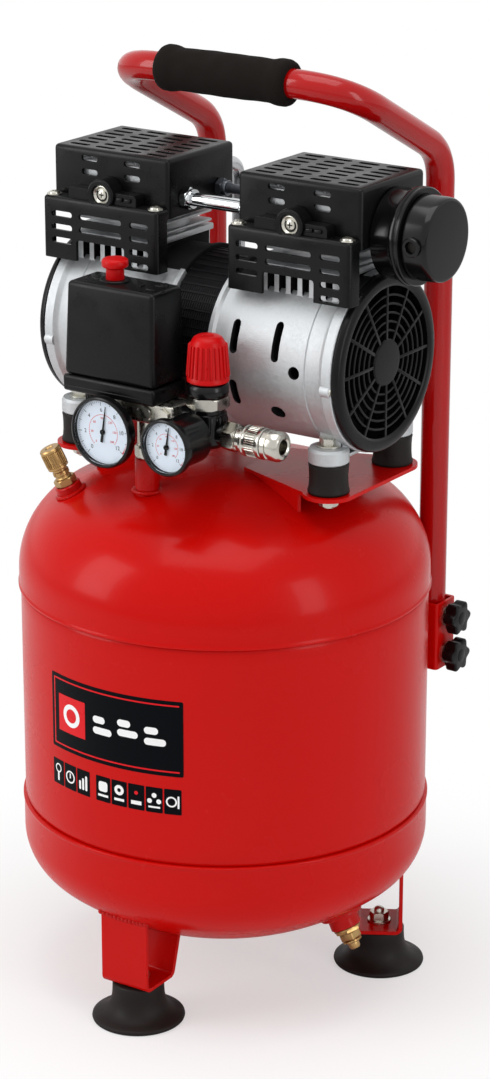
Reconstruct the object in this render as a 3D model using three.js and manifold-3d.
// Upright oil-free air compressor: a vertical air tank on three rubber feet, a twin-cylinder motor and
// pump across its top, a pressure switch, gauges and regulator in front, and a tube handle behind.
// Millimetres. X runs along the motor shaft, -Y is the front with the gauges, +Z is up.
import * as THREE from 'three';
import { mergeVertices } from 'three/addons/utils/BufferGeometryUtils.js';
import Module from 'manifold-3d';

const wasm = await Module();
wasm.setup();

// ---------------------------------------------------------------- driving dimensions
const SEAT = 0.3; // gap between pieces that rest on each other
const SLOT_CLEARANCE = 0.5; // around a pipe or stud that passes through a wall

// Tank: a rolled shell between two pressed caps whose skirts stand a little proud of it.
const TANK_R = 155;
const TANK_WALL = 2.4;
const CAP_LIP = 1.2;
const SHELL_LENGTH = 170.3;
const TANK_CLEARANCE = 40.4; // floor to the lowest point of the tank
const TOP_CAP = { skirt: 12.4, knuckle: 67.4, crown: 307.3 };
const BOTTOM_CAP = { skirt: 26.7, knuckle: 41.7, crown: 226.5 };
const TANK_SEGMENTS = 32;
const CAP_STEPS = { knuckle: 4, crown: 3 }; // facets along each arc of a cap's outline

// Three strap legs on moulded rubber feet.
const FOOT_ANGLES = { front: -88.3, right: 31.7, left: 151.7 };
const FOOT_INSET = 34; // tank radius less foot circle radius
const FOOT_R = 35.5;
const FOOT_NECK_R = 19.7;
const FOOT_HEIGHT = 31;
const LEG_PLATE = 3;
const LEG_WIDTH = 41;
const LEG_DEPTH = 37;
const LEG_LEAN = 9; // how far the inner plate leans in as it rises
const FOOT_STUD_R = 4;
const NUT_R = 7;

// Drain under the tank.
const DRAIN_AZIMUTH = 2;
const DRAIN_RADIUS = 105;
const DRAIN_BOSS_R = 12;

// Motor and pump, mirrored about x = 0. Distances along the shaft are measured from the middle.
const MOTOR_Y = 14;
const BUFFER_X = 112.3;
const BUFFER_SPREAD = 43.2; // each side of the shaft
const BUFFER_R = 15;
const BUFFER_HEIGHT = 22.4;
const LUG_HEIGHT = 11;
const HOUSING_R = 64;
const SHAFT_ABOVE_LUG = HOUSING_R + 3.6; // shaft axis above the underside of the lugs
const HOUSING_WALL = 4;
const HOUSING_FLANGE = 3; // the end flange stands this far out
const HOUSING_INNER_X = 19.3;
const HOUSING_OUTER_X = 128;
const WEB_X = 40; // bearing web inside each housing
const WEB_THICKNESS = 6;
const SHAFT_R = 8;
const SHAFT_CLEARANCE = 0.3;
const STATOR_BORE_R = 34;
const AIR_GAP = 0.8;
const CRANK_THROW = 7;
const ECCENTRIC_R = 11;
const CYLINDER_X = 83.5;
const BORE_R = 30;
const PISTON_CLEARANCE = 0.4;
const PISTON_HEIGHT = 10;
const ROD_THICKNESS = 12;
const NECK_SIZE = [66, 74]; // top of each housing, along X and Y
const NECK_TOP = HOUSING_R + 7.4; // above the shaft axis
const CYLINDER_HEIGHT = 28;
const FIN_SIZE = [74, 72];
const FIN_COUNT = 3;
const HEAD_SIZE = [92, 66];
const HEAD_HEIGHT = 30;
const FAN_R = HOUSING_R - 10;
const FAN_X = 112;
const FAN_DEPTH = 12;
const FAN_BLADES = 5;
const GRILLE_R = HOUSING_R + 2.2;
const GRILLE_DEPTH = 6.4;
const GRILLE_OPEN_R = GRILLE_R - 10.2;
const GRILLE_HUB_R = 17.5;
const GRILLE_SPOKES = 6;

// Plastic covers over the cylinder heads.
const COVER_INNER_X = 30.8;
const COVER_OUTER_X = 136.3;
const COVER_DEPTH = 2 * HOUSING_R - 44.3;
const COVER_HEIGHT = 44;
const COVER_WALL = 2.5;
const COVER_HEADROOM = 3; // between the head and the inside of the cover's top
const TOP_SLOT = { columns: 4, rows: 7, length: 17, width: 4.4, pitchX: 23.5, pitchY: 10.6 };
const SHROUD_PROUD = 11.9; // in front of the cover
const SHROUD_HEIGHT = 47;
const SHROUD_SIDE = 12.5;
const SHROUD_DROP = 35.9; // top of the shroud under the top of the cover
const SHROUD_CUT = { width: 44, height: 16 };
const TRANSFER_PIPE = { frontR: 5.2, rearR: 3.8, spread: 21.8, drop: 31.2 };
const FILTER = { drop: 38.5, drumR: 33, drumLength: 17, rimR: 35.5, rimLength: 8, capR: 30, capLength: 19.5 };
const FILTER_PORT_R = 9;
const DELIVERY = { x: -50, y: MOTOR_Y + HOUSING_R + 12, radius: 5, drop: 22 };
const CHECK_VALVE_R = 11;

// Control group in front: everything hangs on one manifold at this distance in front of the tank axis.
const CONTROL_Y = MOTOR_Y - HOUSING_R - 25;
const RISER_X = -17;
const RISER_R = 9;
const MANIFOLD = { left: -55, right: 16, depth: 26, height: 16, above: 46 }; // above the tank top
const SWITCH = { left: -71, right: 3.5, depth: 38, height: 70, collar: 12.5, collarOut: 2.2, collarLeft: 6 };
const BUTTON = { x: -44, capR: 9.6, stemR: 5.5, height: 17, travel: 6 };
const GLAND = { x: -64, radius: 7, length: 12 };
const GAUGE_LARGE = { x: -33.6, radius: 27, bodyR: 22, reach: 35, ringDepth: 7.5, above: 39.8 };
const GAUGE_SMALL = { x: 38.2, radius: 21.2, bodyR: 18.5, reach: 55, ringDepth: 6.5, above: 46 };
const GAUGE_READING = 8; // degrees clockwise from upright
const DIAL_RECESS = 4.5;
const RING_WIDTH = 2.7;
const REGULATOR = { x: 38.2, bodyR: 13.5, bottom: 34, top: 63.5, nutR: 16, nutHeight: 8.5 };
const COLLAR = { radius: 15, height: 10 };
const KNOB = { radius: 16.4, height: 34 };
const COUPLER = { start: 55, end: 104.2, hexR: 11, bodyR: 8.5, headR: 11.2, socketR: 5.5, socketDepth: 14 };
const SLEEVE = { inner: 71, length: 18, radius: 11.6, travel: 4 };
const SAFETY = { azimuth: 222.2, radius: 116.3, bossR: 10, bossHeight: 7, bodyR: 6.8, capR: 8.3 };
const SAFETY_CAP = { start: 21, length: 17 };

// Handle: one bent tube clamped in two brackets on the back of the tank.
const TUBE_R = 10.75;
const HANDLE_AZIMUTH = 51.8;
const HANDLE_CLEARANCE = 1.1; // tube to tank cap
const CROSSBAR_Y = 4;
const CROSSBAR_RISE = 61; // crossbar axis above the covers
const ARM_TILT = 27;
const CORNER_R = 45;
const ELBOW_R = 38;
const GRIP = { half: 57, endFoam: 6.65, middleFoam: 4.85 };
const BRACKET = { half: TUBE_R + 2.85, wall: 2.6, bottom: 82, height: 54 }; // bottom is above the lower seam
const STAR = { radius: 13.5, thickness: 11, spacing: 30.7, standoff: 3.5, studR: 4 };

// ---------------------------------------------------------------- helpers
const UP = new THREE.Vector3(0, 0, 1);
const group = new THREE.Group();

// Closed, merged and facing out, ready for a cut or a join.
function solid(geometry) {
  const plain = geometry.clone();
  for (const name of Object.keys(plain.attributes)) {
    if (name !== 'position') plain.deleteAttribute(name);
  }
  const merged = mergeVertices(plain, 1e-4);
  const index = merged.index.array;
  const position = merged.attributes.position;
  const corner = [new THREE.Vector3(), new THREE.Vector3(), new THREE.Vector3()];
  const kept = [];
  let volume = 0;
  for (let i = 0; i < index.length; i += 3) {
    const face = [index[i], index[i + 1], index[i + 2]];
    if (new Set(face).size < 3) continue;
    face.forEach((vertex, k) => corner[k].fromBufferAttribute(position, vertex));
    volume += corner[0].dot(corner[1].clone().cross(corner[2]));
    kept.push(...face);
  }
  if (volume < 0) {
    for (let i = 0; i < kept.length; i += 3) {
      [kept[i], kept[i + 1]] = [kept[i + 1], kept[i]];
    }
  }
  merged.setIndex(kept);
  return merged;
}

function toManifold(geometry) {
  const closed = solid(geometry);
  return new wasm.Manifold(new wasm.Mesh({
    numProp: 3,
    vertProperties: new Float32Array(closed.attributes.position.array),
    triVerts: new Uint32Array(closed.index.array),
  }));
}

function toGeometry(manifold) {
  const mesh = manifold.getMesh();
  const geometry = new THREE.BufferGeometry();
  geometry.setAttribute('position', new THREE.BufferAttribute(new Float32Array(mesh.vertProperties), 3));
  geometry.setIndex(Array.from(mesh.triVerts));
  return geometry;
}

function cut(base, ...tools) {
  return toGeometry(tools.reduce((sum, tool) => sum.subtract(toManifold(tool)), toManifold(base)));
}

function join(base, ...others) {
  return toGeometry(others.reduce((sum, other) => sum.add(toManifold(other)), toManifold(base)));
}

// A solid of revolution about Z from [radius, height] points.
function revolve(points, segments) {
  const profile = points.map(([radius, height]) => new THREE.Vector2(radius, height));
  return new THREE.LatheGeometry(profile, segments).rotateX(Math.PI / 2);
}

// A ring or tube: the closed profile between two radii and two heights.
function ring(inner, outer, low, high, segments) {
  return revolve([[inner, low], [outer, low], [outer, high], [inner, high], [inner, low]], segments);
}

function rod(radius, low, high, segments) {
  return revolve([[0, low], [radius, low], [radius, high], [0, high]], segments);
}

// A box from its lowest and highest corners.
function block(low, high) {
  const size = low.map((value, i) => high[i] - value);
  const middle = low.map((value, i) => (value + high[i]) / 2);
  return new THREE.BoxGeometry(...size).translate(...middle);
}

// Turns a piece made along +Z to lie along a direction and moves it to a place.
function along(geometry, direction, place) {
  const turn = new THREE.Quaternion().setFromUnitVectors(UP, direction.clone().normalize());
  return geometry.applyQuaternion(turn).translate(place.x, place.y, place.z);
}

function alongX(geometry, sign, y, z) {
  return along(geometry, new THREE.Vector3(sign, 0, 0), new THREE.Vector3(0, y, z));
}

function alongFront(geometry, x, z) {
  return along(geometry, new THREE.Vector3(0, -1, 0), new THREE.Vector3(x, 0, z));
}

// A path of straight runs joined by rounded corners.
function bentPath(points, radii) {
  const path = new THREE.CurvePath();
  let start = points[0];
  for (let i = 1; i < points.length - 1; i++) {
    const arriving = points[i].clone().sub(points[i - 1]).normalize();
    const leaving = points[i + 1].clone().sub(points[i]).normalize();
    const reach = radii[i - 1] * Math.tan(arriving.angleTo(leaving) / 2);
    const from = points[i].clone().addScaledVector(arriving, -reach);
    const to = points[i].clone().addScaledVector(leaving, reach);
    path.add(new THREE.LineCurve3(start, from));
    path.add(new THREE.QuadraticBezierCurve3(from, points[i], to));
    start = to;
  }
  path.add(new THREE.LineCurve3(start, points[points.length - 1]));
  return path;
}

function tubeAlong(path, radius, sides, steps) {
  const section = new THREE.Shape(new THREE.EllipseCurve(0, 0, radius, radius).getPoints(sides).slice(0, -1));
  return new THREE.ExtrudeGeometry(section, { extrudePath: path, steps, bevelEnabled: false });
}

const FINISH = {
  redPaint: { color: 0xb4141a, roughness: 0.25, metalness: 0.1 },
  rubber: { color: 0x2b2826, roughness: 0.85, metalness: 0 },
  blackPlastic: { color: 0x22211f, roughness: 0.45, metalness: 0 },
  redPlastic: { color: 0xc01818, roughness: 0.35, metalness: 0 },
  castAluminium: { color: 0xc4c7c9, roughness: 0.5, metalness: 0.9 },
  steel: { color: 0xa9abad, roughness: 0.35, metalness: 1 },
  darkSteel: { color: 0x303234, roughness: 0.5, metalness: 0.8 },
  chrome: { color: 0xd6d8da, roughness: 0.12, metalness: 1 },
  brass: { color: 0xb08d4b, roughness: 0.3, metalness: 1 },
  nickel: { color: 0xb5b1a2, roughness: 0.25, metalness: 1 },
  foam: { color: 0x2a2523, roughness: 0.95, metalness: 0 },
};

function add(name, geometry, finish) {
  const mesh = new THREE.Mesh(solid(geometry), new THREE.MeshStandardMaterial(FINISH[finish]));
  mesh.name = name;
  mesh.geometry.computeVertexNormals();
  group.add(mesh);
}

// ---------------------------------------------------------------- tank
const capR = TANK_R + CAP_LIP;

// Where a cap's knuckle arc meets its crown arc, and how far the crown's centre lies from the seam.
function capArcs(cap, radius, inset) {
  const knuckle = cap.knuckle - inset;
  const crown = cap.crown - inset;
  const knuckleAxis = radius - cap.knuckle;
  const blend = Math.asin(knuckleAxis / (crown - knuckle));
  const crownCentre = cap.skirt - (crown - knuckle) * Math.cos(blend);
  return { knuckle, crown, knuckleAxis, blend, crownCentre };
}

// The cap's outline from its rim to its middle, as [radius, distance from the seam].
function capOutline(cap, radius, inset, knuckleSteps, crownSteps) {
  const { knuckle, crown, knuckleAxis, blend, crownCentre } = capArcs(cap, radius, inset);
  const points = [[radius - inset, 0]];
  for (let i = 0; i <= knuckleSteps; i++) {
    const angle = Math.PI / 2 + (blend - Math.PI / 2) * (i / knuckleSteps);
    points.push([knuckleAxis + knuckle * Math.sin(angle), cap.skirt + knuckle * Math.cos(angle)]);
  }
  for (let i = 1; i <= crownSteps; i++) {
    const angle = blend * (1 - i / crownSteps);
    points.push([crown * Math.sin(angle), crownCentre + crown * Math.cos(angle)]);
  }
  return points;
}

function capRise(cap) {
  const { crown, crownCentre } = capArcs(cap, capR, 0);
  return crown + crownCentre;
}

const lowerSeamZ = TANK_CLEARANCE + capRise(BOTTOM_CAP);
const upperSeamZ = lowerSeamZ + SHELL_LENGTH;
const tankTopZ = upperSeamZ + capRise(TOP_CAP);

// The point and the outward normal on a cap at a distance from the tank's axis and an azimuth.
function onCap(cap, seamZ, side, azimuth, distance) {
  const { knuckle, crown, knuckleAxis, blend, crownCentre } = capArcs(cap, capR, 0);
  const onCrown = distance < crown * Math.sin(blend);
  const tilt = onCrown ? Math.asin(distance / crown) : Math.asin((distance - knuckleAxis) / knuckle);
  const height = onCrown ? crownCentre + crown * Math.cos(tilt) : cap.skirt + knuckle * Math.cos(tilt);
  const turn = THREE.MathUtils.degToRad(azimuth);
  const outward = new THREE.Vector3(Math.cos(turn), Math.sin(turn), 0);
  const point = outward.clone().multiplyScalar(distance).setZ(seamZ + side * height);
  const normal = outward.multiplyScalar(Math.sin(tilt)).setZ(side * Math.cos(tilt));
  return { point, normal };
}

function topAt(x, y) {
  const azimuth = THREE.MathUtils.radToDeg(Math.atan2(y, x));
  return onCap(TOP_CAP, upperSeamZ, 1, azimuth, Math.hypot(x, y)).point.z;
}

function cap(shape, seamZ, side) {
  const outer = capOutline(shape, capR, 0, CAP_STEPS.knuckle, CAP_STEPS.crown);
  const inner = capOutline(shape, capR, TANK_WALL, 2, 2).reverse();
  const profile = [...outer.reverse(), ...inner.reverse()];
  return revolve(profile.map(([r, z]) => [r, seamZ + side * (z + SEAT / 2)]), TANK_SEGMENTS);
}

// The whole tank's outer form with the seating gap, used to trim what is welded to it.
function tankEnvelope() {
  const { knuckle, crown } = CAP_STEPS;
  const lower = capOutline(BOTTOM_CAP, capR, -SEAT, knuckle, crown).map(([r, z]) => [r, lowerSeamZ - z]);
  const upper = capOutline(TOP_CAP, capR, -SEAT, knuckle, crown).map(([r, z]) => [r, upperSeamZ + z]);
  const waistR = TANK_R + SEAT;
  const waist = [[waistR, lowerSeamZ + SEAT], [waistR, upperSeamZ - SEAT]];
  return revolve([...lower.reverse(), ...waist, ...upper], TANK_SEGMENTS);
}

const BOSS_ROOT = 2 * TANK_WALL; // how far a boss reaches in through the wall

// A welded boss that stands out of a cap along its normal.
function boss(place, radius, height, segments) {
  return along(rod(radius, -BOSS_ROOT, height, segments), place.normal, place.point);
}

const drainPlace = onCap(BOTTOM_CAP, lowerSeamZ, -1, DRAIN_AZIMUTH, DRAIN_RADIUS);
const safetyPlace = onCap(TOP_CAP, upperSeamZ, 1, SAFETY.azimuth, SAFETY.radius);
const riserTopZ = topAt(RISER_X, CONTROL_Y) + 26;
const checkTopZ = topAt(DELIVERY.x, DELIVERY.y) + 8;
const DRAIN_FLANGE = { radius: 16.5, height: 4 };
const DRAIN_BOSS_HEIGHT = 13;

function tankTop() {
  const riser = rod(RISER_R, topAt(RISER_X, CONTROL_Y) - BOSS_ROOT, riserTopZ, 16);
  const check = rod(CHECK_VALVE_R + 2, topAt(DELIVERY.x, DELIVERY.y) - BOSS_ROOT, checkTopZ, 16);
  return join(
    cap(TOP_CAP, upperSeamZ, 1),
    riser.translate(RISER_X, CONTROL_Y, 0),
    check.translate(DELIVERY.x, DELIVERY.y, 0),
    boss(safetyPlace, SAFETY.bossR, SAFETY.bossHeight, 16),
  );
}

function tankBottom() {
  return join(
    cap(BOTTOM_CAP, lowerSeamZ, -1),
    boss(drainPlace, DRAIN_FLANGE.radius, DRAIN_FLANGE.height, 20),
    boss(drainPlace, DRAIN_BOSS_R, DRAIN_BOSS_HEIGHT, 16),
  );
}

add('tank_shell', ring(TANK_R - TANK_WALL, TANK_R, lowerSeamZ + SEAT / 2, upperSeamZ - SEAT / 2,
  TANK_SEGMENTS), 'redPaint');
add('tank_top', tankTop(), 'redPaint');
add('tank_bottom', tankBottom(), 'redPaint');

// ---------------------------------------------------------------- drain
const drainSeatEnd = DRAIN_BOSS_HEIGHT + 4;
const DRAIN_SCREW_LENGTH = 14;

function drainSeat() {
  return along(rod(DRAIN_BOSS_R - 1.5, DRAIN_BOSS_HEIGHT + SEAT, drainSeatEnd, 6), drainPlace.normal,
    drainPlace.point);
}

function drainScrew() {
  const start = drainSeatEnd + SEAT;
  const body = rod(DRAIN_BOSS_R - 4.5, start, start + DRAIN_SCREW_LENGTH - 4, 12);
  const tip = rod(DRAIN_BOSS_R - 6, start + DRAIN_SCREW_LENGTH - 5, start + DRAIN_SCREW_LENGTH, 4);
  return along(join(body, tip), drainPlace.normal, drainPlace.point);
}

add('drain_seat', drainSeat(), 'brass');
add('drain_screw', drainScrew(), 'brass');

// ---------------------------------------------------------------- legs and feet
const footCircleR = TANK_R - FOOT_INSET;

// A strap bent into a channel: outer plate, floor and leaning inner plate, trimmed by the tank.
function leg(angle) {
  const outer = footCircleR + LEG_DEPTH / 2;
  const inner = footCircleR - LEG_DEPTH / 2;
  const top = lowerSeamZ;
  const lean = LEG_LEAN * ((top - FOOT_HEIGHT) / FOOT_HEIGHT);
  const outline = new THREE.Shape([
    new THREE.Vector2(outer, FOOT_HEIGHT),
    new THREE.Vector2(outer, top),
    new THREE.Vector2(outer - LEG_PLATE, top),
    new THREE.Vector2(outer - LEG_PLATE, FOOT_HEIGHT + LEG_PLATE),
    new THREE.Vector2(inner + LEG_PLATE, FOOT_HEIGHT + LEG_PLATE),
    new THREE.Vector2(inner + LEG_PLATE - lean, top),
    new THREE.Vector2(inner - lean, top),
    new THREE.Vector2(inner, FOOT_HEIGHT),
  ]);
  const strap = new THREE.ExtrudeGeometry(outline, { depth: LEG_WIDTH, bevelEnabled: false })
    .translate(0, 0, -LEG_WIDTH / 2)
    .rotateX(Math.PI / 2);
  const hole = rod(FOOT_STUD_R + SLOT_CLEARANCE, FOOT_HEIGHT - 1, FOOT_HEIGHT + LEG_PLATE + 1, 12)
    .translate(footCircleR, 0, 0);
  const turn = THREE.MathUtils.degToRad(angle);
  return cut(cut(strap, hole).rotateZ(turn), tankEnvelope());
}

// A moulded rubber bell, its bonded stud through the leg's floor and the nut that holds it.
function foot(angle) {
  const rim = 3.2;
  const top = FOOT_HEIGHT - SEAT;
  const nutLow = FOOT_HEIGHT + LEG_PLATE + SEAT;
  const profile = [
    [0, 0],
    [FOOT_R, 0],
    [FOOT_R, rim],
    [FOOT_NECK_R + 9, rim + 3.5],
    [FOOT_NECK_R + 3, rim + 7.5],
    [FOOT_NECK_R, rim + 13],
    [FOOT_NECK_R, top],
    [FOOT_STUD_R, top],
    [FOOT_STUD_R, nutLow],
    [NUT_R + 1.6, nutLow],
    [NUT_R + 1.6, nutLow + 1.5],
    [NUT_R, nutLow + 1.5],
    [NUT_R, nutLow + 8],
    [FOOT_STUD_R, nutLow + 8],
    [FOOT_STUD_R, nutLow + 12],
    [0, nutLow + 12],
  ];
  const turn = THREE.MathUtils.degToRad(angle);
  return revolve(profile, 14).translate(footCircleR * Math.cos(turn), footCircleR * Math.sin(turn), 0);
}

for (const [place, angle] of Object.entries(FOOT_ANGLES)) {
  add(`leg_${place}`, leg(angle), 'redPaint');
  add(`foot_${place}`, foot(angle), 'rubber');
}

// ---------------------------------------------------------------- motor bracket and rubber mounts
const PLATE = 3;
const PLATE_INNER_X = 28;
const PLATE_INNER_HALF = 29;
const EAR_R = 19;
const plateTopZ = tankTopZ + 0.6;
const lugZ = plateTopZ + BUFFER_HEIGHT + 2 * SEAT;
const shaftZ = lugZ + SHAFT_ABOVE_LUG;

// One pressed plate on each side, with two rounded ears and two lips that stand on the tank.
function bracket(sign) {
  const earX = BUFFER_X - EAR_R;
  const shape = new THREE.Shape();
  shape.moveTo(PLATE_INNER_X, -PLATE_INNER_HALF);
  shape.lineTo(earX, -BUFFER_SPREAD - EAR_R * 0.6);
  shape.absarc(BUFFER_X, -BUFFER_SPREAD, EAR_R, Math.PI * 1.2, Math.PI * 2, false);
  shape.absarc(BUFFER_X, BUFFER_SPREAD, EAR_R, 0, Math.PI * 0.8, false);
  shape.lineTo(PLATE_INNER_X, PLATE_INNER_HALF);
  shape.closePath();
  const plate = new THREE.ExtrudeGeometry(shape, { depth: PLATE, bevelEnabled: false, curveSegments: 6 })
    .translate(0, 0, plateTopZ - PLATE);
  const run = new THREE.Vector2(earX - PLATE_INNER_X, -BUFFER_SPREAD - EAR_R * 0.6 + PLATE_INNER_HALF);
  const lips = [-1, 1].map((side) => {
    const drop = plateTopZ - upperSeamZ;
    const lip = new THREE.BoxGeometry(run.length() - 2, PLATE, drop)
      .translate(0, 0, -drop / 2)
      .rotateZ(-side * run.angle())
      .translate((earX + PLATE_INNER_X) / 2, side * (PLATE_INNER_HALF - run.y / 2 - PLATE), 0);
    return lip.translate(0, 0, plateTopZ - PLATE / 2);
  });
  const studHoles = [-1, 1].map((side) => rod(FOOT_STUD_R + SLOT_CLEARANCE, plateTopZ - PLATE - 1,
    plateTopZ + 1, 8).translate(BUFFER_X, side * BUFFER_SPREAD, 0));
  const whole = cut(join(plate, ...lips), ...studHoles).translate(0, MOTOR_Y, 0);
  const mirrored = sign < 0 ? whole.applyMatrix4(new THREE.Matrix4().makeScale(-1, 1, 1)) : whole;
  return cut(mirrored, tankEnvelope());
}

// A rubber buffer with bonded studs: one up into the housing's lug, one down through the plate.
function buffer(x, y) {
  const low = plateTopZ + SEAT;
  const high = low + BUFFER_HEIGHT;
  const waist = BUFFER_R - 0.8;
  const profile = [
    [0, low - PLATE - 9],
    [FOOT_STUD_R, low - PLATE - 9],
    [FOOT_STUD_R, low],
    [BUFFER_R + 0.5, low],
    [waist, (low + high) / 2],
    [waist, high],
    [0, high],
  ];
  return revolve(profile, 16).translate(x, y, 0);
}

const SIDES = { left: -1, right: 1 };
const ENDS = { front: -1, rear: 1 };
for (const [side, sign] of Object.entries(SIDES)) {
  add(`bracket_${side}`, bracket(sign), 'redPaint');
  for (const [end, facing] of Object.entries(ENDS)) {
    add(`buffer_${end}_${side}`, buffer(sign * BUFFER_X, MOTOR_Y + facing * BUFFER_SPREAD), 'rubber');
  }
}

// ---------------------------------------------------------------- crankcase housings
const housingInnerR = HOUSING_R - HOUSING_WALL;
const neckTopZ = shaftZ + NECK_TOP;

// A cast drum about the shaft, open at both ends, with a bearing web across it.
function drum() {
  const flangeR = HOUSING_R + HOUSING_FLANGE;
  const boreR = SHAFT_R + SHAFT_CLEARANCE;
  return revolve([
    [housingInnerR, HOUSING_INNER_X],
    [HOUSING_R + 2, HOUSING_INNER_X],
    [HOUSING_R + 2, HOUSING_INNER_X + 4],
    [HOUSING_R, HOUSING_INNER_X + 6],
    [HOUSING_R, HOUSING_OUTER_X - 11],
    [flangeR, HOUSING_OUTER_X - 8],
    [flangeR, HOUSING_OUTER_X],
    [housingInnerR, HOUSING_OUTER_X],
    [housingInnerR, WEB_X + WEB_THICKNESS],
    [boreR, WEB_X + WEB_THICKNESS],
    [boreR, WEB_X],
    [housingInnerR, WEB_X],
    [housingInnerR, HOUSING_INNER_X],
  ], 24);
}

// Ventilation openings in the front wall of a housing, as [distance along, height, length, height].
const VENTS = [
  [78, 20, 4.2, 27],
  [42, 19, 4.2, 23],
  [41, -23, 4.2, 19],
];
const VENT_HOLES = [[95, 0.6], [75.5, -36]];

function crankcase(sign) {
  const neckLow = shaftZ + housingInnerR / 2;
  const neck = block(
    [CYLINDER_X - NECK_SIZE[0] / 2, MOTOR_Y - NECK_SIZE[1] / 2, neckLow],
    [CYLINDER_X + NECK_SIZE[0] / 2, MOTOR_Y + NECK_SIZE[1] / 2, neckTopZ],
  );
  const lugs = [-1, 1].map((side) => rod(BUFFER_R, lugZ, lugZ + LUG_HEIGHT, 16)
    .translate(BUFFER_X, MOTOR_Y + side * BUFFER_SPREAD, 0));
  const bridge = block(
    [BUFFER_X - 9, MOTOR_Y - BUFFER_SPREAD, lugZ],
    [BUFFER_X + 9, MOTOR_Y + BUFFER_SPREAD, shaftZ - housingInnerR / 2],
  );
  const hollow = alongX(ring(SHAFT_R, housingInnerR, WEB_X + WEB_THICKNESS, HOUSING_OUTER_X + 1, 24), 1,
    MOTOR_Y, shaftZ);
  const passage = rod(BORE_R + SEAT, shaftZ, neckTopZ + 1, 18).translate(CYLINDER_X, MOTOR_Y, 0);
  const slots = VENTS.map(([x, z, length, height]) => block(
    [x - length / 2, MOTOR_Y - HOUSING_R - 1, shaftZ + z - height / 2],
    [x + length / 2, MOTOR_Y - HOUSING_R * 0.7, shaftZ + z + height / 2],
  ));
  const holes = VENT_HOLES.map(([x, z]) => along(rod(3.6, 0, HOUSING_R + 3, 10),
    new THREE.Vector3(0, -Math.sqrt(HOUSING_R ** 2 - z ** 2), z), new THREE.Vector3(x, MOTOR_Y, shaftZ)));
  const windows = [-1, 0, 1].map((step) => block(
    [CYLINDER_X + step * 14 - 4, MOTOR_Y - NECK_SIZE[1] / 2 - 1, neckTopZ - 19],
    [CYLINDER_X + step * 14 + 4, MOTOR_Y - BORE_R, neckTopZ - 4],
  ));
  const shell = join(alongX(drum(), 1, MOTOR_Y, shaftZ), cut(join(neck, bridge, ...lugs), hollow));
  const whole = cut(shell, passage, ...slots, ...holes, ...windows);
  return sign < 0 ? whole.applyMatrix4(new THREE.Matrix4().makeScale(-1, 1, 1)) : whole;
}

// ---------------------------------------------------------------- stator, rotor and fans
function stator() {
  const half = HOUSING_INNER_X - SEAT;
  const windingR = STATOR_BORE_R + 16;
  const windingEnd = half + 13;
  return alongX(revolve([
    [STATOR_BORE_R, -half],
    [STATOR_BORE_R + 4, -windingEnd],
    [windingR, -windingEnd],
    [windingR + 3, -half],
    [HOUSING_R - 1.5, -half],
    [HOUSING_R - 1.5, half],
    [windingR + 3, half],
    [windingR, windingEnd],
    [STATOR_BORE_R + 4, windingEnd],
    [STATOR_BORE_R, half],
    [STATOR_BORE_R, -half],
  ], 24), 1, MOTOR_Y, shaftZ);
}

// Shaft, rotor core, two opposed eccentrics and a fan at each end: they turn as one.
function rotor() {
  const end = HOUSING_OUTER_X - 2;
  const shaft = rod(SHAFT_R, -end, end, 16);
  const core = rod(STATOR_BORE_R - AIR_GAP, -HOUSING_INNER_X, HOUSING_INNER_X, 24);
  const pieces = [core];
  for (const sign of [-1, 1]) {
    const middle = sign * CYLINDER_X;
    pieces.push(rod(ECCENTRIC_R, middle - ROD_THICKNESS / 2, middle + ROD_THICKNESS / 2, 16)
      .translate(0, sign * CRANK_THROW, 0));
    const fanMiddle = sign * (FAN_X + FAN_DEPTH / 2);
    pieces.push(rod(SHAFT_R + 7, fanMiddle - FAN_DEPTH / 2, fanMiddle + FAN_DEPTH / 2, 14));
    for (let i = 0; i < FAN_BLADES; i++) {
      pieces.push(new THREE.BoxGeometry(FAN_R - SHAFT_R, 2, FAN_DEPTH)
        .rotateX(THREE.MathUtils.degToRad(20))
        .translate((FAN_R + SHAFT_R) / 2, 0, fanMiddle)
        .rotateZ((i * 2 * Math.PI) / FAN_BLADES));
    }
  }
  return alongX(join(shaft, ...pieces), 1, MOTOR_Y, shaftZ);
}

function grille(sign) {
  const low = HOUSING_OUTER_X + SEAT;
  const high = low + GRILLE_DEPTH;
  const spokes = [];
  for (let i = 0; i < GRILLE_SPOKES; i++) {
    spokes.push(block([GRILLE_HUB_R - 2, -1.2, low + 1], [GRILLE_OPEN_R + 2, 1.2, high - 1.5])
      .rotateZ((i * 2 * Math.PI) / GRILLE_SPOKES));
  }
  const middleR = (GRILLE_OPEN_R + GRILLE_HUB_R) / 2;
  const whole = join(
    ring(GRILLE_OPEN_R, GRILLE_R, low, high, 24),
    ring(middleR - 1.2, middleR + 1.2, low + 1, high - 1.5, 12),
    rod(GRILLE_HUB_R, low + 1, high - 0.5, 12),
    ...spokes,
  );
  return alongX(whole, sign, MOTOR_Y, shaftZ);
}

add('stator', stator(), 'darkSteel');
add('rotor', rotor(), 'steel');

// ---------------------------------------------------------------- cylinders and pistons
const cylinderLowZ = neckTopZ + SEAT;
const headLowZ = cylinderLowZ + CYLINDER_HEIGHT;
const headTopZ = headLowZ + HEAD_HEIGHT;
const coverTopZ = headTopZ + COVER_HEADROOM + COVER_WALL;
const pistonZ = headLowZ - CRANK_THROW - PISTON_HEIGHT - 3;

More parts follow.
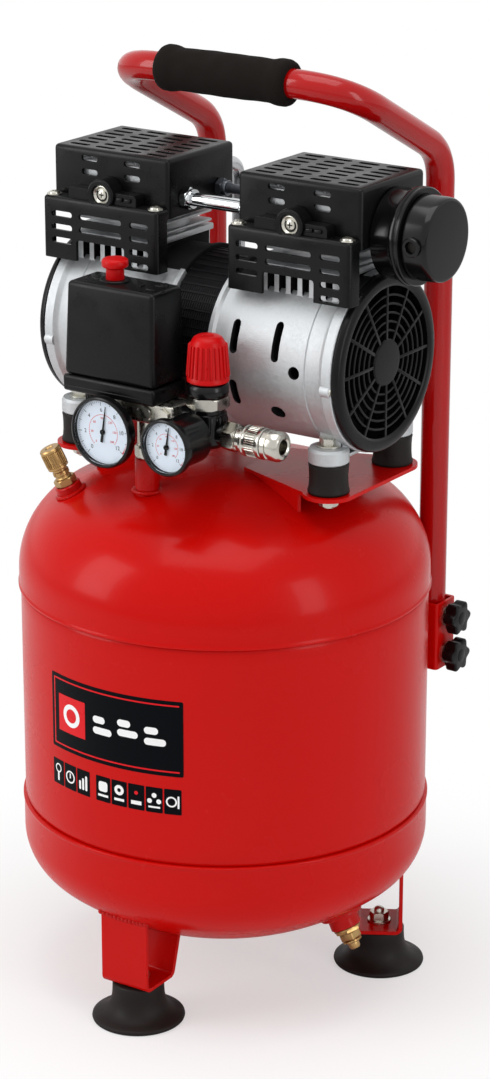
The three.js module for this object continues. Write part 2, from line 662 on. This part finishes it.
// A finned barrel closed by its head, open at the bottom.
function cylinder(sign) {
  const x = sign * CYLINDER_X;
  const fins = [];
  for (let i = 0; i < FIN_COUNT; i++) {
    const z = cylinderLowZ + 5 + (i * (CYLINDER_HEIGHT - 8)) / FIN_COUNT;
    fins.push(block([-FIN_SIZE[0] / 2, -FIN_SIZE[1] / 2, z], [FIN_SIZE[0] / 2, FIN_SIZE[1] / 2, z + 2.5]));
  }
  const head = block([-HEAD_SIZE[0] / 2, -HEAD_SIZE[1] / 2, headLowZ - 2],
    [HEAD_SIZE[0] / 2, HEAD_SIZE[1] / 2, headTopZ]);
  const whole = join(rod(BORE_R + 4, cylinderLowZ, headLowZ, 18), head, ...fins);
  return cut(whole, rod(BORE_R, cylinderLowZ - 1, headLowZ - 1, 18)).translate(x, MOTOR_Y, 0);
}

// A wobble piston: crown, rod and a big-end ring wide enough to clear the eccentric all round.
function piston(sign) {
  const bigEndR = ECCENTRIC_R + 2 * CRANK_THROW + 1;
  const half = ROD_THICKNESS / 2;
  const bigEnd = ring(bigEndR, bigEndR + 5, -half, half, 18).rotateY(Math.PI / 2).translate(0, 0, shaftZ);
  const crown = rod(BORE_R - PISTON_CLEARANCE, pistonZ, pistonZ + PISTON_HEIGHT, 18);
  const link = block([-half, -8, shaftZ + bigEndR + 2], [half, 8, pistonZ + 1]);
  return join(bigEnd, link, crown).translate(sign * CYLINDER_X, MOTOR_Y, 0);
}

// ---------------------------------------------------------------- covers and shrouds
const coverLowZ = coverTopZ - COVER_HEIGHT;
const coverFrontY = MOTOR_Y + 1 - COVER_DEPTH / 2;
const coverBackY = MOTOR_Y + 1 + COVER_DEPTH / 2;
const coverMiddleX = (COVER_INNER_X + COVER_OUTER_X) / 2;
const coverMiddleY = (coverFrontY + coverBackY) / 2;
const pipeZ = coverTopZ - TRANSFER_PIPE.drop;
const filterZ = coverTopZ - FILTER.drop;

// A box moulding, open below, slotted on top and in front.
function cover(sign) {
  const outer = block([COVER_INNER_X, coverFrontY, coverLowZ], [COVER_OUTER_X, coverBackY, coverTopZ]);
  const inner = block(
    [COVER_INNER_X + COVER_WALL, coverFrontY + COVER_WALL, coverLowZ - 1],
    [COVER_OUTER_X - COVER_WALL, coverBackY - COVER_WALL, coverTopZ - COVER_WALL],
  );
  const openings = [inner];
  for (let column = 0; column < TOP_SLOT.columns; column++) {
    for (let row = 0; row < TOP_SLOT.rows; row++) {
      const x = coverMiddleX + (column - (TOP_SLOT.columns - 1) / 2) * TOP_SLOT.pitchX;
      const y = coverMiddleY + (row - (TOP_SLOT.rows - 1) / 2) * TOP_SLOT.pitchY;
      openings.push(block([x - TOP_SLOT.length / 2, y - TOP_SLOT.width / 2, coverTopZ - COVER_WALL - 1],
        [x + TOP_SLOT.length / 2, y + TOP_SLOT.width / 2, coverTopZ + 1]));
    }
  }
  for (const x of [coverMiddleX - 19.5, coverMiddleX + 19.5]) {
    for (const drop of [7, 17.5]) {
      openings.push(block([x - 7, coverFrontY - 1, coverTopZ - drop - 2],
        [x + 7, coverFrontY + COVER_WALL + 1, coverTopZ - drop + 2]));
    }
  }
  for (const [y, radius] of [[-TRANSFER_PIPE.spread, TRANSFER_PIPE.frontR],
    [TRANSFER_PIPE.spread, TRANSFER_PIPE.rearR]]) {
    openings.push(alongX(rod(radius + SLOT_CLEARANCE, COVER_INNER_X - 1, COVER_INNER_X + COVER_WALL + 1, 12),
      1, coverMiddleY + y, pipeZ));
  }
  if (sign > 0) {
    openings.push(alongX(rod(FILTER_PORT_R + SLOT_CLEARANCE, COVER_OUTER_X - COVER_WALL - 1,
      COVER_OUTER_X + 1, 16), 1, coverMiddleY, filterZ));
  } else {
    openings.push(along(rod(DELIVERY.radius + SLOT_CLEARANCE, 0, COVER_WALL + 2, 12),
      new THREE.Vector3(0, 1, 0), new THREE.Vector3(-DELIVERY.x, coverBackY - COVER_WALL - 1,
        coverTopZ - DELIVERY.drop)));
  }
  const whole = cut(outer, ...openings);
  return sign < 0 ? whole.applyMatrix4(new THREE.Matrix4().makeScale(-1, 1, 1)) : whole;
}

// A cowl in front of each cylinder that sends the cooling air down: a slotted wall, two short sides,
// a ledge against the cover, a raised middle with a round screw boss, and a notch over the neck.
function shroud(sign) {
  const frontY = coverFrontY - SHROUD_PROUD;
  const topZ = coverTopZ - SHROUD_DROP;
  const lowZ = topZ - SHROUD_HEIGHT;
  const meetY = coverFrontY - SEAT;
  const body = block([COVER_INNER_X, frontY, lowZ], [COVER_OUTER_X, frontY + SHROUD_SIDE, topZ]);
  const raised = block([coverMiddleX - 31, frontY, topZ - 1], [coverMiddleX + 31, meetY, topZ + 8]);
  const screwBoss = along(rod(12, 0, SHROUD_PROUD + 2, 20), new THREE.Vector3(0, -1, 0),
    new THREE.Vector3(coverMiddleX, meetY, topZ + 5.6));
  const hollow = block([COVER_INNER_X + COVER_WALL, frontY + COVER_WALL, lowZ - 1],
    [COVER_OUTER_X - COVER_WALL, frontY + SHROUD_SIDE + 1, topZ - COVER_WALL]);
  const trim = block([COVER_INNER_X - 1, meetY, coverLowZ - SEAT],
    [COVER_OUTER_X + 1, frontY + SHROUD_SIDE + 1, topZ + 1]);
  const notch = block([coverMiddleX - SHROUD_CUT.width / 2, frontY - 1, lowZ - 1],
    [coverMiddleX + SHROUD_CUT.width / 2, frontY + COVER_WALL + 1, lowZ + SHROUD_CUT.height]);
  const slots = [];
  for (const [shift, width, rows] of [[-35.5, 19, 3], [0, 39, 2], [35.5, 17, 4]]) {
    for (let row = 0; row < rows; row++) {
      const z = topZ - 13 - row * 10;
      slots.push(block([coverMiddleX + shift - width / 2, frontY - 1, z - 2],
        [coverMiddleX + shift + width / 2, frontY + COVER_WALL + 1, z + 2]));
    }
  }
  const whole = cut(join(cut(body, hollow, trim), raised, screwBoss), notch, ...slots);
  const shift = sign < 0 ? -2 * coverMiddleX : 0;
  return whole.translate(shift, 0, 0);
}

for (const [side, sign] of Object.entries(SIDES)) {
  add(`crankcase_${side}`, crankcase(sign), 'castAluminium');
  add(`grille_${side}`, grille(sign), 'blackPlastic');
  add(`cylinder_${side}`, cylinder(sign), 'castAluminium');
  add(`piston_${side}`, piston(sign), 'castAluminium');
  add(`cover_${side}`, cover(sign), 'blackPlastic');
  add(`shroud_${side}`, shroud(sign), 'blackPlastic');
}

// ---------------------------------------------------------------- pipes and intake filter
const headSideX = CYLINDER_X - HEAD_SIZE[0] / 2;
const PIPE_NUT = 5;

// A plain pipe between the two heads, with a nut outside each cover.
function transferPipe(radius, y) {
  const end = headSideX - SEAT;
  const nutEnd = COVER_INNER_X - SEAT;
  const nuts = [-nutEnd, nutEnd - PIPE_NUT].map((start) => rod(radius + 3, start, start + PIPE_NUT, 6));
  return alongX(join(rod(radius, -end, end, 12), ...nuts), 1, y, pipeZ);
}

add('transfer_pipe_front', transferPipe(TRANSFER_PIPE.frontR, coverMiddleY - TRANSFER_PIPE.spread), 'chrome');
add('transfer_pipe_rear', transferPipe(TRANSFER_PIPE.rearR, coverMiddleY + TRANSFER_PIPE.spread), 'darkSteel');

const filterStart = COVER_OUTER_X + SEAT;
const filterRimStart = filterStart + FILTER.drumLength;
const filterCapStart = filterRimStart + FILTER.rimLength;

function filterBody() {
  const portStart = CYLINDER_X + HEAD_SIZE[0] / 2 + SEAT;
  return alongX(revolve([
    [0, portStart],
    [FILTER_PORT_R, portStart],
    [FILTER_PORT_R, filterStart],
    [FILTER.drumR, filterStart],
    [FILTER.drumR, filterRimStart],
    [FILTER.rimR, filterRimStart + 1],
    [FILTER.rimR, filterCapStart],
    [0, filterCapStart],
  ], 24), 1, coverMiddleY, filterZ);
}

// The filter's lid, with its inlet spout in front.
function filterCap() {
  const start = filterCapStart + SEAT;
  const end = start + FILTER.capLength;
  const lid = revolve([[0, start], [FILTER.capR + 1, start], [FILTER.capR, end - 2], [FILTER.capR - 2, end],
    [0, end]], 24);
  const spout = ring(4, 7, FILTER.capR - 4, FILTER.capR + 4, 12);
  const place = new THREE.Vector3((start + end) / 2, coverMiddleY, filterZ);
  return join(alongX(lid, 1, coverMiddleY, filterZ), along(spout, new THREE.Vector3(0, -1, 0), place));
}

// Delivery pipe from the left head down to the check valve on the tank.
function deliveryLine() {
  const headBackY = MOTOR_Y + HEAD_SIZE[1] / 2 + SEAT;
  const topZ = coverTopZ - DELIVERY.drop;
  const valveTopZ = checkTopZ + 24;
  const path = bentPath([
    new THREE.Vector3(DELIVERY.x, headBackY, topZ),
    new THREE.Vector3(DELIVERY.x, DELIVERY.y, topZ),
    new THREE.Vector3(DELIVERY.x, DELIVERY.y, valveTopZ - 2),
  ], [16]);
  const valve = revolve([[0, checkTopZ + SEAT], [CHECK_VALVE_R, checkTopZ + SEAT],
    [CHECK_VALVE_R, checkTopZ + 14], [CHECK_VALVE_R - 3, checkTopZ + 16], [CHECK_VALVE_R - 3, valveTopZ],
    [0, valveTopZ]], 12).translate(DELIVERY.x, DELIVERY.y, 0);
  return join(tubeAlong(path, DELIVERY.radius, 8, 14), valve);
}

add('filter_body', filterBody(), 'blackPlastic');
add('filter_cap', filterCap(), 'blackPlastic');
add('delivery_line', deliveryLine(), 'brass');

// ---------------------------------------------------------------- pressure switch
const manifoldLowZ = tankTopZ + MANIFOLD.above;
const manifoldTopZ = manifoldLowZ + MANIFOLD.height;
const collarTopZ = manifoldTopZ + SEAT + SWITCH.collar;
const switchTopZ = collarTopZ + SEAT + SWITCH.height;
const switchFrontY = CONTROL_Y - SWITCH.depth / 2 - 1;
const switchBackY = CONTROL_Y + SWITCH.depth / 2 - 1;

function manifold() {
  const body = block([MANIFOLD.left, CONTROL_Y - MANIFOLD.depth / 2, manifoldLowZ],
    [MANIFOLD.right, CONTROL_Y + MANIFOLD.depth / 2, manifoldTopZ]);
  const nipple = rod(RISER_R - 1.5, riserTopZ + SEAT, manifoldLowZ + 1, 6).translate(RISER_X, CONTROL_Y, 0);
  return join(body, nipple);
}

// The switch's lower collar, with the cable gland beneath its left end.
function switchBase() {
  const collar = block(
    [SWITCH.left - SWITCH.collarLeft, switchFrontY - SWITCH.collarOut, manifoldTopZ + SEAT],
    [SWITCH.right + SWITCH.collarOut, switchBackY + 1, collarTopZ],
  );
  const gland = rod(GLAND.radius, manifoldTopZ + SEAT - GLAND.length, manifoldTopZ + SEAT + 1, 10);
  return join(collar, gland.translate(GLAND.x, CONTROL_Y, 0));
}

function switchCover() {
  const body = block([SWITCH.left, switchFrontY, collarTopZ + SEAT], [SWITCH.right, switchBackY, switchTopZ]);
  const hole = rod(BUTTON.stemR + SLOT_CLEARANCE, switchTopZ - 12, switchTopZ + 1, 12);
  return cut(body, hole.translate(BUTTON.x, CONTROL_Y, 0));
}

// Pulled up to run: a domed cap on a stem that slides in the cover.
function switchButton() {
  const capLow = switchTopZ + BUTTON.travel + 1.5;
  const capHigh = switchTopZ + BUTTON.height;
  return revolve([
    [0, switchTopZ - 4],
    [BUTTON.stemR, switchTopZ - 4],
    [BUTTON.stemR, capLow],
    [BUTTON.capR - 1.5, capLow],
    [BUTTON.capR, capHigh - 2],
    [BUTTON.capR - 1.5, capHigh],
    [0, capHigh],
  ], 16).translate(BUTTON.x, CONTROL_Y, 0);
}

add('manifold', manifold(), 'steel');
add('switch_base', switchBase(), 'blackPlastic');
add('switch_cover', switchCover(), 'blackPlastic');
add('switch_button', switchButton(), 'redPlastic');

// ---------------------------------------------------------------- gauges
const regulatorLowZ = tankTopZ + REGULATOR.bottom;
const manifoldFrontY = CONTROL_Y - MANIFOLD.depth / 2;
const regulatorFrontY = CONTROL_Y - REGULATOR.bodyR;

// A cup behind a ring, with a stem back to what carries it; the dial is the floor of the recess.
function gaugeCase(gauge, backY) {
  const front = gauge.reach - CONTROL_Y;
  const ringBack = front - gauge.ringDepth;
  const dial = front - DIAL_RECESS;
  const back = -backY + SEAT;
  const bodyBack = back + 6;
  return alongFront(revolve([
    [0, back],
    [5, back],
    [5, bodyBack],
    [gauge.bodyR, bodyBack],
    [gauge.bodyR, ringBack],
    [gauge.radius, ringBack],
    [gauge.radius, front],
    [gauge.radius - RING_WIDTH, front],
    [gauge.radius - RING_WIDTH, dial],
    [0, dial],
  ], 20), gauge.x, tankTopZ + gauge.above);
}

// A needle with a tail and a hub, over the dial.
function gaugePointer(gauge) {
  const dial = gauge.reach - CONTROL_Y - DIAL_RECESS;
  const reach = (gauge.radius - RING_WIDTH) * 0.8;
  const outline = new THREE.Shape([
    new THREE.Vector2(-1.1, -reach * 0.4),
    new THREE.Vector2(1.1, -reach * 0.4),
    new THREE.Vector2(1.1, 0),
    new THREE.Vector2(0.3, reach),
    new THREE.Vector2(-0.3, reach),
    new THREE.Vector2(-1.1, 0),
  ]);
  const needle = new THREE.ExtrudeGeometry(outline, { depth: 0.8, bevelEnabled: false })
    .rotateX(Math.PI / 2)
    .rotateY(THREE.MathUtils.degToRad(GAUGE_READING))
    .translate(0, -dial - 0.9, 0);
  const hub = along(rod(2.1, dial + SEAT, dial + 2.2, 10), new THREE.Vector3(0, -1, 0), new THREE.Vector3());
  return join(needle, hub).translate(gauge.x, 0, tankTopZ + gauge.above);
}

add('gauge_large_case', gaugeCase(GAUGE_LARGE, manifoldFrontY), 'blackPlastic');
add('gauge_large_pointer', gaugePointer(GAUGE_LARGE), 'blackPlastic');
add('gauge_small_case', gaugeCase(GAUGE_SMALL, regulatorFrontY), 'blackPlastic');
add('gauge_small_pointer', gaugePointer(GAUGE_SMALL), 'blackPlastic');

// ---------------------------------------------------------------- regulator
const regulatorTopZ = tankTopZ + REGULATOR.top;
const nutTopZ = regulatorTopZ + SEAT + REGULATOR.nutHeight;
const knobLowZ = nutTopZ + SEAT + COLLAR.height + SEAT;
const couplerZ = tankTopZ + 44.6;

function regulatorBody() {
  const middleZ = manifoldLowZ + MANIFOLD.height / 2;
  const barrel = revolve([[0, regulatorLowZ], [REGULATOR.bodyR - 3, regulatorLowZ],
    [REGULATOR.bodyR, regulatorLowZ + 4], [REGULATOR.bodyR, regulatorTopZ], [0, regulatorTopZ]], 20)
    .translate(REGULATOR.x, CONTROL_Y, 0);
  const inlet = alongX(rod(7, MANIFOLD.right + SEAT, REGULATOR.x, 12), 1, CONTROL_Y, middleZ);
  const outlet = alongX(rod(8, REGULATOR.x, COUPLER.start - SEAT, 12), 1, CONTROL_Y, couplerZ);
  return join(barrel, inlet, outlet);
}

add('regulator_body', regulatorBody(), 'blackPlastic');
add('regulator_nut', rod(REGULATOR.nutR, regulatorTopZ + SEAT, nutTopZ, 6)
  .translate(REGULATOR.x, CONTROL_Y, 0), 'nickel');
add('regulator_collar', rod(COLLAR.radius, nutTopZ + SEAT, nutTopZ + SEAT + COLLAR.height, 20)
  .translate(REGULATOR.x, CONTROL_Y, 0), 'blackPlastic');
add('regulator_knob', revolve([
  [0, knobLowZ],
  [KNOB.radius, knobLowZ],
  [KNOB.radius - 1.2, knobLowZ + KNOB.height - 5],
  [KNOB.radius - 5, knobLowZ + KNOB.height],
  [0, knobLowZ + KNOB.height],
], 24).translate(REGULATOR.x, CONTROL_Y, 0), 'redPlastic');

// ---------------------------------------------------------------- quick coupler
// A nickel socket along +X: hexagon, slim barrel for the sleeve to slide on, and an open nose.
function couplerBody() {
  const { start, end, hexR, bodyR, headR, socketR, socketDepth } = COUPLER;
  const hexagon = rod(hexR, start, start + 11, 6);
  const barrel = rod(bodyR, start + 10, end - 8, 20);
  const nose = rod(headR, SLEEVE.inner + SLEEVE.length + SEAT, end, 24);
  const socket = rod(socketR, end - socketDepth, end + 1, 16);
  return alongX(cut(join(hexagon, barrel, nose), socket), 1, CONTROL_Y, couplerZ);
}

add('coupler_body', couplerBody(), 'nickel');
add('coupler_sleeve', alongX(ring(COUPLER.bodyR + SEAT, SLEEVE.radius, SLEEVE.inner,
  SLEEVE.inner + SLEEVE.length, 24), 1, CONTROL_Y, couplerZ), 'nickel');

// ---------------------------------------------------------------- safety valve
function safetyBody() {
  const low = SAFETY.bossHeight + SEAT;
  return along(revolve([
    [0, low],
    [SAFETY.bodyR + 1.4, low],
    [SAFETY.bodyR + 1.4, low + 5],
    [SAFETY.bodyR - 1, low + 6],
    [SAFETY.bodyR - 1, SAFETY_CAP.start],
    [SAFETY.bodyR - 3, SAFETY_CAP.start],
    [SAFETY.bodyR - 3, SAFETY_CAP.start + 9],
    [0, SAFETY_CAP.start + 9],
  ], 16), safetyPlace.normal, safetyPlace.point);
}

// The knurled cap, lifted by hand to test the valve.
function safetyCap() {
  const low = SAFETY_CAP.start + SEAT;
  const high = SAFETY_CAP.start + SAFETY_CAP.length;
  const inner = SAFETY.bodyR - 3 + SEAT;
  return along(revolve([[inner, low], [SAFETY.capR, low], [SAFETY.capR, high - 1], [SAFETY.capR - 1, high],
    [0, high], [0, low + 9.5], [inner, low + 9.5], [inner, low]], 20), safetyPlace.normal, safetyPlace.point);
}

add('safety_valve_body', safetyBody(), 'brass');
add('safety_valve_cap', safetyCap(), 'brass');

// ---------------------------------------------------------------- handle
const handleR = capR + HANDLE_CLEARANCE + TUBE_R;
const handleX = handleR * Math.cos(THREE.MathUtils.degToRad(HANDLE_AZIMUTH));
const handleY = handleR * Math.sin(THREE.MathUtils.degToRad(HANDLE_AZIMUTH));
const crossbarZ = coverTopZ + CROSSBAR_RISE;
const elbowZ = crossbarZ - (handleY - CROSSBAR_Y) * Math.tan(THREE.MathUtils.degToRad(ARM_TILT));
const bracketLowZ = lowerSeamZ + BRACKET.bottom;
const bracketTopZ = bracketLowZ + BRACKET.height;

function handleTube() {
  const path = bentPath([
    new THREE.Vector3(-handleX, handleY, bracketLowZ + 2),
    new THREE.Vector3(-handleX, handleY, elbowZ),
    new THREE.Vector3(-handleX, CROSSBAR_Y, crossbarZ),
    new THREE.Vector3(handleX, CROSSBAR_Y, crossbarZ),
    new THREE.Vector3(handleX, handleY, elbowZ),
    new THREE.Vector3(handleX, handleY, bracketLowZ + 2),
  ], [ELBOW_R, CORNER_R, CORNER_R, ELBOW_R]);
  return tubeAlong(path, TUBE_R, 8, 48);
}

// A foam sleeve over the crossbar, swollen at both ends.
function grip() {
  const { half } = GRIP;
  const endR = TUBE_R + GRIP.endFoam;
  const middleR = TUBE_R + GRIP.middleFoam;
  const sides = 14;
  const inner = (TUBE_R + SEAT) / Math.cos(Math.PI / sides);
  return alongX(revolve([
    [inner, -half],
    [endR - 2.5, -half],
    [endR, -half + 5],
    [endR - 0.6, -half + 11],
    [middleR, -half + 18],
    [middleR + 0.6, 0],
    [middleR, half - 18],
    [endR - 0.6, half - 11],
    [endR, half - 5],
    [endR - 2.5, half],
    [inner, half],
    [inner, -half],
  ], sides), 1, CROSSBAR_Y, crossbarZ);
}

// A channel folded round the foot of the handle and welded to the tank along both edges.
function handleBracket(sign) {
  const x = sign * handleX;
  const { half, wall } = BRACKET;
  const outer = block([x - half, handleY - half, bracketLowZ], [x + half, handleY + half, bracketTopZ]);
  const inner = block([x - half + wall, handleY - half + wall, bracketLowZ - 1],
    [x + half - wall, handleY + half - wall, bracketTopZ + 1]);
  const holes = [-1, 1].map((step) => alongX(rod(STAR.studR + SLOT_CLEARANCE, handleX + TUBE_R - 1,
    handleX + half + 1, 10), sign, handleY, starZ(step)));
  return cut(outer, inner, ...holes, tankEnvelope());
}

function starZ(step) {
  return (bracketLowZ + bracketTopZ) / 2 + (step * STAR.spacing) / 2;
}

// A six-lobed clamping knob on its stud.
function starKnob(sign, step) {
  const outline = [];
  const points = 18;
  for (let i = 0; i < points; i++) {
    const angle = (i * 2 * Math.PI) / points;
    const radius = STAR.radius * (0.9 + 0.1 * Math.cos(6 * angle));
    outline.push(new THREE.Vector2(radius * Math.cos(angle), radius * Math.sin(angle)));
  }
  const start = handleX + BRACKET.half + STAR.standoff;
  const head = new THREE.ExtrudeGeometry(new THREE.Shape(outline), { depth: STAR.thickness,
    bevelEnabled: false }).translate(0, 0, start);
  const stud = rod(STAR.studR, handleX + TUBE_R + SEAT, start + 1, 10);
  return alongX(join(head, stud), sign, handleY, starZ(step));
}

add('handle_tube', handleTube(), 'redPaint');
add('handle_grip', grip(), 'foam');
for (const [side, sign] of Object.entries(SIDES)) {
  add(`handle_bracket_${side}`, handleBracket(sign), 'redPaint');
  add(`star_knob_upper_${side}`, starKnob(sign, 1), 'blackPlastic');
  add(`star_knob_lower_${side}`, starKnob(sign, -1), 'blackPlastic');
}

// The origin is the middle of the object's footprint, on the floor.
const extent = new THREE.Box3().setFromObject(group);
group.position.set(-(extent.min.x + extent.max.x) / 2, -(extent.min.y + extent.max.y) / 2, -extent.min.z);

export default group;
